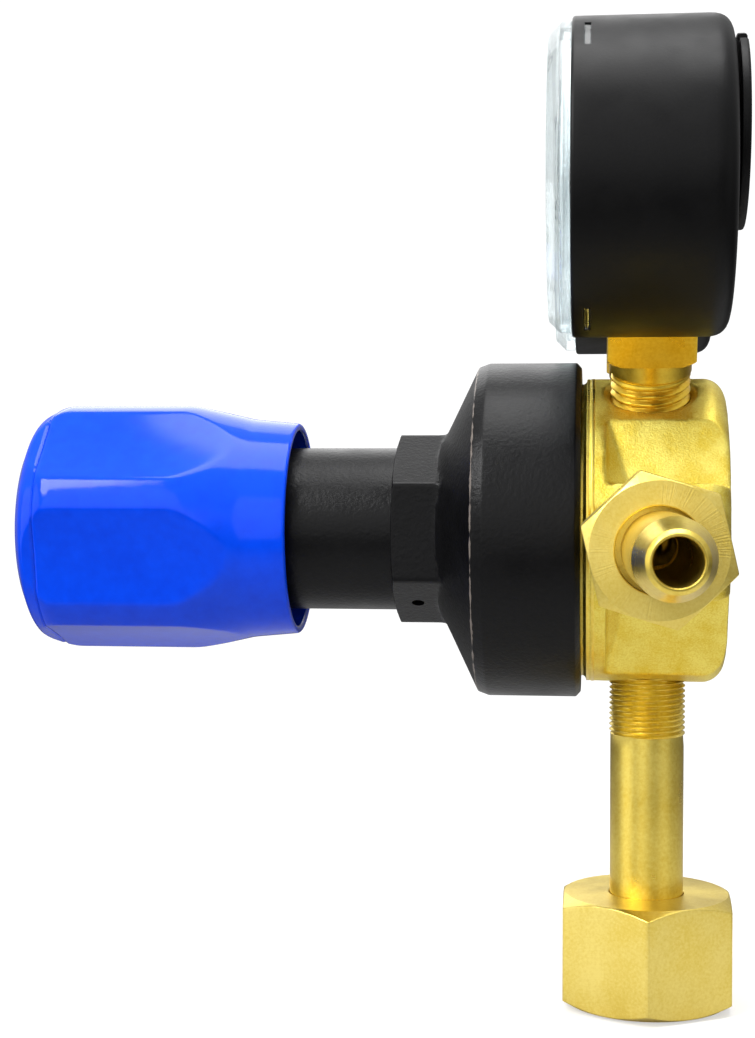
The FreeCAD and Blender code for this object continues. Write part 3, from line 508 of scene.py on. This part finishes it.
def inlet():
    low, high = LOW["inlet_nipple"].z - AXIS.z, HIGH["inlet_nipple"].z - AXIS.z
    body_low = LOW["body"].z - AXIS.z
    outline = rounded([
        (low, 2.6, 0.3), (low, FLANGE_R, 0.4), (low + 3.1, FLANGE_R, 0.4), (low + 3.1, NIPPLE_R),
        (body_low - 9.3, NIPPLE_R),
        (body_low - 9.1, NIPPLE_THREAD_R - 0.1), (body_low + 3, NIPPLE_THREAD_R - 0.1),
        (high - 1, NIPPLE_THREAD_R), (high, NIPPLE_THREAD_R - 0.6), (high, 2.6)])
    outline = stepped(outline, 2.0, (body_low - 9.2, body_low + 3, 0.1), loop=True)
    start, end = body_low - 9.6, body_low + 4

    def cut(s, r, turn):
        return np.where(r > NIPPLE_THREAD_R - 0.3, r - thread(s, turn, NIPPLE_PITCH, 0.48, start, end), r)

    piece = spun("inlet_nipple_turned", NIPPLE, outline, 160, cut, loop=True, sharp=40)
    finished(piece, "turned_brass", "regulator", "inlet_nipple")

    low, high = LOW["inlet_nut"].z - AXIS.z, HIGH["inlet_nut"].z - AXIS.z
    envelope, form, rise = hexagon_nut(low, high, WRENCH, 0.6, 30)
    top = low + 7.9

    def nut_form(s, r, turn):
        threaded = r + 0.45 - thread(s, turn, NUT_PITCH, 0.9, low - 1.0, top + 1.8)
        inner = np.abs(r - NUT_THREAD_R) < 0.01
        return np.where(inner, np.maximum(threaded, NUT_THREAD_R), form(s, r, turn))

    outline = rounded([(low, NUT_THREAD_R + 1.0, 0.1)] + envelope + [
        (high, NIPPLE_R + 0.12, 0.2), (high - 4.7, NIPPLE_R + 0.12), (high - 4.7, 10.2), (top, 10.2),
        (top, NUT_THREAD_R), (low + 0.9, NUT_THREAD_R)])
    outline = stepped(outline, 1.6, (low - 1, low + rise + 0.1, 0.14), loop=True)
    outline = stepped(outline, 1.6, (high - rise - 0.1, high + 1, 0.14), loop=True)
    outline = inner_steps(outline, NUT_THREAD_R, 0.2)
    piece = spun("inlet_nut_hexagon", NIPPLE, outline, 360, nut_form, loop=True)
    finished(piece, "drawn_brass", "inlet_nut", "inlet_nut")


def inner_steps(outline, radius, step):
    """Splits the run that lies on one radius, so that a thread can be cut there."""
    out = []
    for (s0, r0), (s1, r1) in zip(outline, outline[1:] + outline[:1]):
        on = abs(r0 - radius) < 0.01 and abs(r1 - radius) < 0.01
        count = max(1, math.ceil(abs(s1 - s0) / step)) if on else 1
        out += [(s0 + (s1 - s0) * k / count, r0 + (r1 - r0) * k / count) for k in range(count)]
    return out


# ---------------------------------------------------------------- outlet

OUTLET = (Vector((middle("outlet_nut").x, AXIS.y, middle("outlet_nut").z)), -Y, X)
OUTLET_WRENCH = 21.0
OUTLET_CORNER = 43.3        # where one of its corners has come to rest, in degrees
ADAPTER_PITCH = 1.34        # 19 threads to the inch
TAIL_R = 6.0
TAIL_ROOT = 6.0             # from the ball's centre to the start of the hose's seat
TAIL_BORE_R = 3.5
BALL_R = 7.4


def outlet():
    low, high = -HIGH["outlet_adapter"].y, -LOW["outlet_adapter"].y
    outline = rounded([
        (low, 3.0), (low, 6.1), (low + 0.8, 6.6), (low + 9.5, 6.6), (low + 9.5, 9.5, 0.3), (low + 14, 9.5, 0.3),
        (low + 14, 7.0, 0.2), (low + 15, 7.0), (low + 15.6, 7.6), (high - 1.0, 7.6), (high, 6.6), (high, 6.0),
        (high - 3, 3.0)])
    outline = stepped(outline, 1.5, (low + 15, high, 0.15), loop=True)

    def cut(s, r, turn):
        return np.where(r > 7.4, r - thread(s, turn, ADAPTER_PITCH, 0.6, low + 14.5, high + 0.5) * (r < 8), r)

    piece = spun("outlet_adapter_turned", OUTLET, outline, 160, cut, loop=True, sharp=40)
    finished(piece, "turned_brass", "regulator", "outlet_adapter")

    low, high = -HIGH["outlet_nut"].y, -LOW["outlet_nut"].y
    envelope, form, rise = hexagon_nut(low, high, OUTLET_WRENCH, 0.6, OUTLET_CORNER)
    outline = rounded([(low, 7.9, 0.15)] + envelope + [
        (high, 6.55, 0.25), (high - 2.6, 6.55), (high - 2.6, 7.62), (low + 0.3, 7.62)])
    outline = stepped(outline, 1.5, (low - 1, low + rise + 0.1, 0.12), loop=True)
    outline = stepped(outline, 1.5, (high - rise - 0.1, high + 1, 0.12), loop=True)
    piece = spun("outlet_nut_hexagon", OUTLET, outline, 360, form, loop=True)
    finished(piece, "drawn_brass", "regulator", "outlet_nut")

    mount = MOUNTS["outlet_hose_tail"]
    lean = Vector(mount["axis"]).normalized()
    ball = Vector(mount["pos_m"]) / MM - lean * (mount["dims"]["length_mm"] / 2 + TAIL_ROOT)
    shoulder = TAIL_ROOT + mount["dims"]["length_mm"]
    arc = [(s, math.sqrt(BALL_R ** 2 - s ** 2)) for s in np.linspace(-5.6, 1.7, 14)]
    outline = [(-5.6, TAIL_BORE_R)] + arc + rounded([
        (1.7, TAIL_R - 0.2), (TAIL_ROOT, TAIL_R - 0.2), (TAIL_ROOT, TAIL_R), (shoulder, TAIL_R, 0.8),
        (shoulder + 1.4, TAIL_R - 0.5, 0.8), (shoulder + 4.4, 4.55, 0.5), (shoulder + 5.0, 3.95, 0.25),
        (shoulder + 5.0, TAIL_BORE_R + 0.15, 0.12), (shoulder + 4.8, TAIL_BORE_R)])
    across = (X - lean * X.dot(lean)).normalized()
    outline = stepped(outline, 1.0, loop=True)
    piece = spun("outlet_tail_turned", (ball, lean, across), outline, 200, loop=True, sharp=35)
    finished(piece, "turned_brass", "regulator", "outlet_tail")


# ---------------------------------------------------------------- relief valve

RELIEF = (AXIS, Y, X)
RELIEF_FACE = 25.5
RELIEF_WRENCH = 14.3


def relief():
    low, high = LOW["relief_body"].y, HIGH["relief_body"].y
    face = RELIEF_FACE
    envelope, form, rise = hexagon_nut(face, face + 6, RELIEF_WRENCH, 0.5, 0)
    outline = rounded([(low, 1.5), (low, 4.4), (low + 0.6, 5.0), (face - 0.01, 5.0)] + envelope + [
        (face + 6.01, 5.7, 0.2), (face + 7.2, 5.7, 0.2), (face + 7.3, 6.2, 0.15), (face + 9.6, 6.2, 0.2),
        (face + 9.8, 5.95, 0.1), (face + 10.2, 5.95, 0.1), (face + 10.4, 6.2, 0.2),
        (high, 6.2, 0.15), (high, 4.3), (low + 5, 4.3), (low + 5, 1.5)])
    outline = stepped(outline, 1.2, (face - 0.1, face + rise + 0.2, 0.12), loop=True)
    piece = spun("relief_body_turned", RELIEF, outline, 200, form, loop=True)
    drill(piece, (Vector((0, face + 8.5, AXIS.z)), X, Z), 1.0, -10, 10)
    finished(piece, "turned_brass", "regulator", "relief_body")

    low, high = LOW["relief_cap"].y, HIGH["relief_cap"].y
    outline = stepped(rounded([
        (low, 1.36), (low, 4.28), (low + 3, 4.28), (low + 3, 6.2, 0.15), (high, 6.2, 0.4), (high, 1.5, 0.1),
        (high - 0.3, 1.36)]), 0.4, loop=True)

    def knurl(s, r, turn):
        return np.where((r > 5.9) & (s > low + 3.2), r - 0.16 * np.abs(np.sin(22 * turn)), r)

    piece = spun("relief_cap_knurled", RELIEF, outline, 352, knurl, loop=True)
    finished(piece, "turned_brass", "regulator", "relief_cap")


# ---------------------------------------------------------------- gauges

CASE_R = 25.0
CASE_WALL = 1.3
CASE_CORNER = 3.5
LUG_COUNT = 3
LUG_TURN = math.radians(12.5)
LENS_R = 24.3
LENS_EDGE = 1.8
DIAL_R = 22.4
DISC_R = 15.0
DISC_OFFSET = 7.0
BLOCK = 14.3
STEM_R = 6.6
STEM_PITCH = 1.41           # 18 threads to the inch


def gauge(label, top, major, minor, unit):
    """One gauge: case, lens, dial print, stem and blow-out disc, placed by its CAD dial."""
    dial = middle(label + "_dial")
    centre = Vector((0, dial.y, dial.z))
    up = (centre - AXIS).normalized()
    place = (centre, X, up)

    front, back = LOW[label + "_case"].x, HIGH[label + "_case"].x
    lug = front + 2.45

    def case_form(s, r, turn):
        step = 2 * math.pi / LUG_COUNT
        off = ((turn - LUG_TURN + step / 2) % step - step / 2) * CASE_R
        slot = (np.abs(s - lug) < 0.45) & (np.abs(off) < 3.55) & (r > CASE_R - 0.5)
        return np.where(slot, r - 1.05, r)

    outline = rounded([
        (back - CASE_WALL, 0), (back - CASE_WALL, CASE_R - CASE_WALL, 1.5),
        (front, CASE_R - CASE_WALL, 0.3), (front, CASE_R, 0.6), (lug - 0.7, CASE_R), (lug + 0.7, CASE_R),
        (back, CASE_R, CASE_CORNER), (back, 0)], 8)
    outline = stepped(outline, 1.5, (lug - 0.72, lug + 0.72, 0.09))
    piece = spun(label + "_case_coated", place, outline, 720, case_form)
    finished(piece, "black_powder_coat", "regulator", label + "_case")

    nose = LOW[label + "_lens"].x
    inner = CASE_R - CASE_WALL - 0.03
    outline = stepped(rounded([
        (nose, 0), (nose, LENS_R - LENS_EDGE, 0.5), (nose + LENS_EDGE, LENS_R, 0.5),
        (front - 0.1, LENS_R, 0.15), (front - 0.1, inner), (front + 5, inner, 0.2), (front + 5, DIAL_R + 0.2, 0.2),
        (nose + 2.0, DIAL_R + 0.2, 0.6), (nose + 2.0, 0)], 6), 2.0)
    piece = spun(label + "_lens_clear", place, outline, 240)
    finished(piece, "clear_polycarbonate", "regulator", label + "_lens")
    for k in range(LUG_COUNT):
        lug_piece(label, k, place, lug)

    disc = HIGH[label + "_blowout_disc"].x
    outline = stepped(rounded([
        (back - 1.0, 0), (back - 1.0, 8.0), (back + 0.6, 8.0), (back + 0.6, DISC_R, 0.2), (disc, DISC_R, 0.5),
        (disc, DISC_R - 1.6, 0.25), (disc - 0.45, DISC_R - 2.1, 0.25), (disc - 0.45, 0)]), 0.8)

    def notch(s, r, turn):
        nick = (np.cos(turn) > math.cos(0.07)) & (r > DISC_R - 1.2)
        return np.where(nick, r - 0.9, r)

    piece = spun(label + "_blowout_disc_moulded", (centre + up * DISC_OFFSET, X, up), outline, 360, notch)
    finished(piece, "black_moulding", "regulator", label + "_blowout_disc")
    stem(label, centre, up)
    dial_print(label, centre, up, top, major, minor, unit)


def lug_piece(label, k, place, lug):
    """A lens lug standing in its slot in the case rim."""
    centre, axis, up = place
    side = axis.cross(up)
    turn = LUG_TURN + 2 * math.pi / LUG_COUNT * k
    out = up * math.cos(turn) + side * math.sin(turn)
    along = side * math.cos(turn) - up * math.sin(turn)
    work = bmesh.new()
    bmesh.ops.create_cube(work, size=1.0)
    for v in work.verts:
        v.co = (centre + axis * (lug + v.co.x * 0.74) + along * (v.co.y * 6.9)
                + out * (CASE_R - 1.5 + v.co.z * 2.0)) * MM
    bmesh.ops.bevel(work, geom=work.edges[:], offset=0.12 * MM, segments=2, affect="EDGES", profile=0.5)
    mesh = bpy.data.meshes.new("lug")
    work.to_mesh(mesh)
    work.free()
    finished(new_piece(label + "_lens_lug_" + str(k + 1), mesh), "clear_polycarbonate", "regulator")


def stem(label, centre, up):
    """The gauge's square wrench block and its taper pipe thread, with the CAD socket's inner end."""
    reach = (centre - AXIS).length
    low, high = 17.0 - reach, 43.0 - reach
    block = 33.0 - reach

    def form(s, r, turn):
        square = soft_min(r, flats(turn, BLOCK, 4, 45, 160), 0.1)
        pipe = r - thread(s, turn, STEM_PITCH, 0.7, low - 1.0, block - 3.0)
        return np.where(r > STEM_R + 0.3, square, np.where(r > STEM_R - 0.3, pipe, r))

    outline = rounded([
        (low, 0), (low, STEM_R - 0.7), (low + 0.8, STEM_R), (block - 3.2, STEM_R - 0.05, 0.2),
        (block - 3.0, STEM_R + 0.1, 0.15), (block - 0.1, STEM_R + 0.1, 0.15), (block, BLOCK / 2 - 0.05, 0.05),
        (block + 0.1, BLOCK / 2 + 1.5), (block + 1.3, BLOCK / math.sqrt(2) + 0.2),
        (high, BLOCK / math.sqrt(2) + 0.2), (high, 0)])
    outline = stepped(outline, 1.5, (low, block - 3.1, 0.12))
    outline = stepped(outline, 1.5, (block - 0.2, block + 1.5, 0.12))
    piece = spun(label + "_stem_turned", (centre, up, X), outline, 320, form, sharp=35)
    work = bmesh.new()
    work.from_mesh(piece.data)
    inner = bmesh.new()
    inner.from_mesh(frame["nodes"][label + "_socket"].data)
    bmesh.ops.remove_doubles(inner, verts=inner.verts, dist=1e-7)
    bmesh.ops.bisect_plane(inner, geom=inner.verts[:] + inner.edges[:] + inner.faces[:], dist=1e-7,
                           plane_co=(centre + up * (high - 0.3)) * MM, plane_no=up, clear_inner=True)
    inner_mesh = bpy.data.meshes.new("inner")
    inner.to_mesh(inner_mesh)
    inner.free()
    work.from_mesh(inner_mesh)
    work.to_mesh(piece.data)
    work.free()
    piece.data.shade_smooth()
    piece.data.set_sharp_from_angle(angle=math.radians(35))
    finished(piece, "gauge_brass", "regulator", label + "_socket")


SWEEP = 270                 # degrees from zero to full scale
MARK_R = 20.6               # outer ends of the scale marks
NUMBER_R = 14.9
INK = 0.03


def words(text, size):
    """The faces of a short text, as (points, faces), size mm high and centred."""
    curve = bpy.data.curves.new("words", "FONT")
    curve.body, curve.size = text, size
    curve.align_x, curve.align_y = "CENTER", "CENTER"
    holder = new_piece("words", curve)
    bpy.context.view_layer.update()
    mesh = bpy.data.meshes.new_from_object(holder.evaluated_get(bpy.context.evaluated_depsgraph_get()))
    points = [v.co.copy() for v in mesh.vertices]
    faces = [list(p.vertices) for p in mesh.polygons]
    bpy.data.objects.remove(holder)
    return points, faces


def dial_print(label, centre, up, top, major, minor, unit):
    """Scale marks, numbers and the unit, printed on the dial."""
    right = X.cross(up)
    face = LOW[label + "_dial"].x
    points, faces = [], []

    def lay(flat, shapes):
        """Adds flat shapes given as (right, up) points in mm, as ink with a little thickness."""
        base = len(points)
        for depth in (0.0, INK):
            points.extend(centre + X * (face - depth - 0.004) + right * p[0] + up * p[1] for p in flat)
        count = len(flat)
        edges = {}
        for shape in shapes:
            faces.append([base + count + k for k in shape])
            faces.append([base + k for k in reversed(shape)])
            for a, b in zip(shape, shape[1:] + shape[:1]):
                edges[(a, b)] = True
        for a, b in edges:
            if (b, a) not in edges:
                faces.append([base + a, base + b, base + count + b, base + count + a])

    def mark(share, inner, outer, wide):
        turn = math.radians(SWEEP * (share - 0.5))
        out = Vector((math.sin(turn), math.cos(turn)))
        across = Vector((out.y, -out.x)) * wide / 2
        lay([out * inner - across, out * inner + across, out * outer + across, out * outer - across],
            [[3, 2, 1, 0]])

    for k in range(minor * major + 1):
        main = k % minor == 0
        mark(k / (minor * major), 18.0 if main else 19.2, MARK_R, 0.5 if main else 0.22)
    for k in range(major + 1):
        turn = math.radians(SWEEP * (k / major - 0.5))
        spot = Vector((math.sin(turn), math.cos(turn))) * NUMBER_R
        flat, shapes = words(str(top * k // major), 3.6)
        lay([spot + Vector(p[:2]) for p in flat], shapes)
    for text, size, height in ((unit, 3.6, -12.5), ("CO2", 3.2, 7.0)):
        flat, shapes = words(text, size)
        lay([Vector((p[0], p[1] + height)) for p in flat], shapes)
    arc = [math.radians(SWEEP * (k / 90 - 0.5)) for k in range(91)]
    ring = [Vector((math.sin(t), math.cos(t))) * r for r in (MARK_R, MARK_R + 0.25) for t in arc]
    lay(ring, [[k + 91, k + 92, k + 1, k] for k in range(90)])
    mesh = bpy.data.meshes.new(label + "_dial_print")
    mesh.from_pydata([p * MM for p in points], [], faces)
    work = bmesh.new()
    work.from_mesh(mesh)
    bmesh.ops.recalc_face_normals(work, faces=work.faces)
    work.to_mesh(mesh)
    work.free()
    finished(new_piece(label + "_dial_print", mesh), "black_pointer", "regulator")


# ---------------------------------------------------------------- making everything

knob()
bonnet()
body()
inlet()
outlet()
relief()
gauge("low", 60, 6, 5, "psi")
gauge("high", 3000, 6, 5, "psi")


# ---------------------------------------------------------------- studio

AIM = Vector((-0.03, 0.0, 0.085))


def lamp(name, spot, size, power):
    """A round soft box in metres and watts, aimed at the regulator."""
    light = bpy.data.lights.new(name, "AREA")
    light.shape, light.size, light.energy = "DISK", size, power
    holder = bpy.data.objects.new(name, light)
    holder.location = spot
    holder.rotation_euler = (AIM - Vector(spot)).to_track_quat("-Z", "Y").to_euler()
    bpy.context.scene.collection.objects.link(holder)


def studio():
    """Soft boxes round a white floor; the world is white to the eye and graded in reflections."""
    work = bmesh.new()
    bmesh.ops.create_circle(work, cap_ends=True, segments=96, radius=1.0)
    mesh = bpy.data.meshes.new("studio_floor")
    work.to_mesh(mesh)
    work.free()
    floor = new_piece("studio_floor", mesh)
    floor.location.z = -0.0005
    mesh.materials.append(fading_paper())
    lamp("key", (-0.42, -0.45, 0.58), 0.36, 4.6)
    lamp("top", (0.0, -0.05, 0.75), 0.5, 3.6)
    lamp("left", (-0.85, -0.35, 0.14), 0.8, 1.7)
    lamp("front", (-0.25, -0.95, 0.30), 0.9, 2.1)
    lamp("right", (0.70, -0.50, 0.12), 0.7, 0.45)
    lamp("back", (-0.2, 0.6, 0.5), 0.6, 1.6)
    world = bpy.data.worlds.new("studio")
    bpy.context.scene.world = world
    world.use_nodes = True
    tree = world.node_tree
    tree.nodes.clear()
    seen = add(tree, "Background", {"Color": (1, 1, 1, 1), "Strength": 1.1})
    direction = add(tree, "TexCoord").outputs["Generated"]
    upward = add(tree, "SeparateXYZ", {0: direction}).outputs[2]
    glow = add(tree, "MapRange", {
        "Value": upward, "From Min": -0.2, "From Max": 0.8, "To Min": 0.08, "To Max": 0.85})
    felt = add(tree, "Background", {"Color": (1, 1, 1, 1), "Strength": glow.outputs[0]})
    path = add(tree, "LightPath")
    plain = add(tree, "Math", {0: path.outputs["Is Camera Ray"], 1: path.outputs["Is Transmission Ray"]},
                operation="MAXIMUM").outputs[0]
    both = add(tree, "MixShader", {0: plain, 1: felt.outputs[0], 2: seen.outputs[0]})
    add(tree, "OutputWorld", {"Surface": both.outputs[0]})
    bpy.context.scene.view_settings.view_transform = "Standard"


def fading_paper():
    """White paper that thins out to the white background away from the object."""
    made = finish("white_paper", "FFFFFF", "FCFCFC", (0.85, 0.95), 4.0, 0.01, {"IOR": 1.3})
    tree = made.node_tree
    shader = next(n for n in tree.nodes if n.type == "BSDF_PRINCIPLED")
    out = next(n for n in tree.nodes if n.type == "OUTPUT_MATERIAL")
    spot = add(tree, "TexCoord").outputs["Object"]
    far = add(tree, "VectorMath", {0: spot}, operation="LENGTH").outputs["Value"]
    fade = add(tree, "MapRange", {"Value": far, "From Min": 0.03, "From Max": 0.3, "To Min": 0.5},
               interpolation_type="SMOOTHSTEP")
    bare = add(tree, "BsdfTransparent")
    both = add(tree, "MixShader", {0: fade.outputs[0], 1: shader.outputs[0], 2: bare.outputs[0]})
    tree.links.new(both.outputs[0], out.inputs["Surface"])
    return made


LENS = 90.596               # mm, on a 36 mm frame
HEADING, DIP = 6.6792, 2.0657       # degrees to the left of straight on, and down


def camera():
    """A long lens just above the knob's axis, turned a little to the knob's side."""
    heading, dip = math.radians(HEADING), math.radians(DIP)
    look = Vector((-math.sin(heading) * math.cos(dip), math.cos(heading) * math.cos(dip), -math.sin(dip)))
    lens = bpy.data.cameras.new("camera")
    lens.sensor_fit, lens.sensor_width = "HORIZONTAL", 36.0
    lens.lens = LENS
    lens.clip_start, lens.clip_end = 0.01, 50.0
    holder = bpy.data.objects.new("camera", lens)
    holder.location = (AXIS + Vector((-8.2524, -330.508, 13.7034))) * MM
    holder.rotation_euler = look.to_track_quat("-Z", "Y").to_euler()
    bpy.context.scene.collection.objects.link(holder)
    bpy.context.scene.camera = holder


studio()
camera()
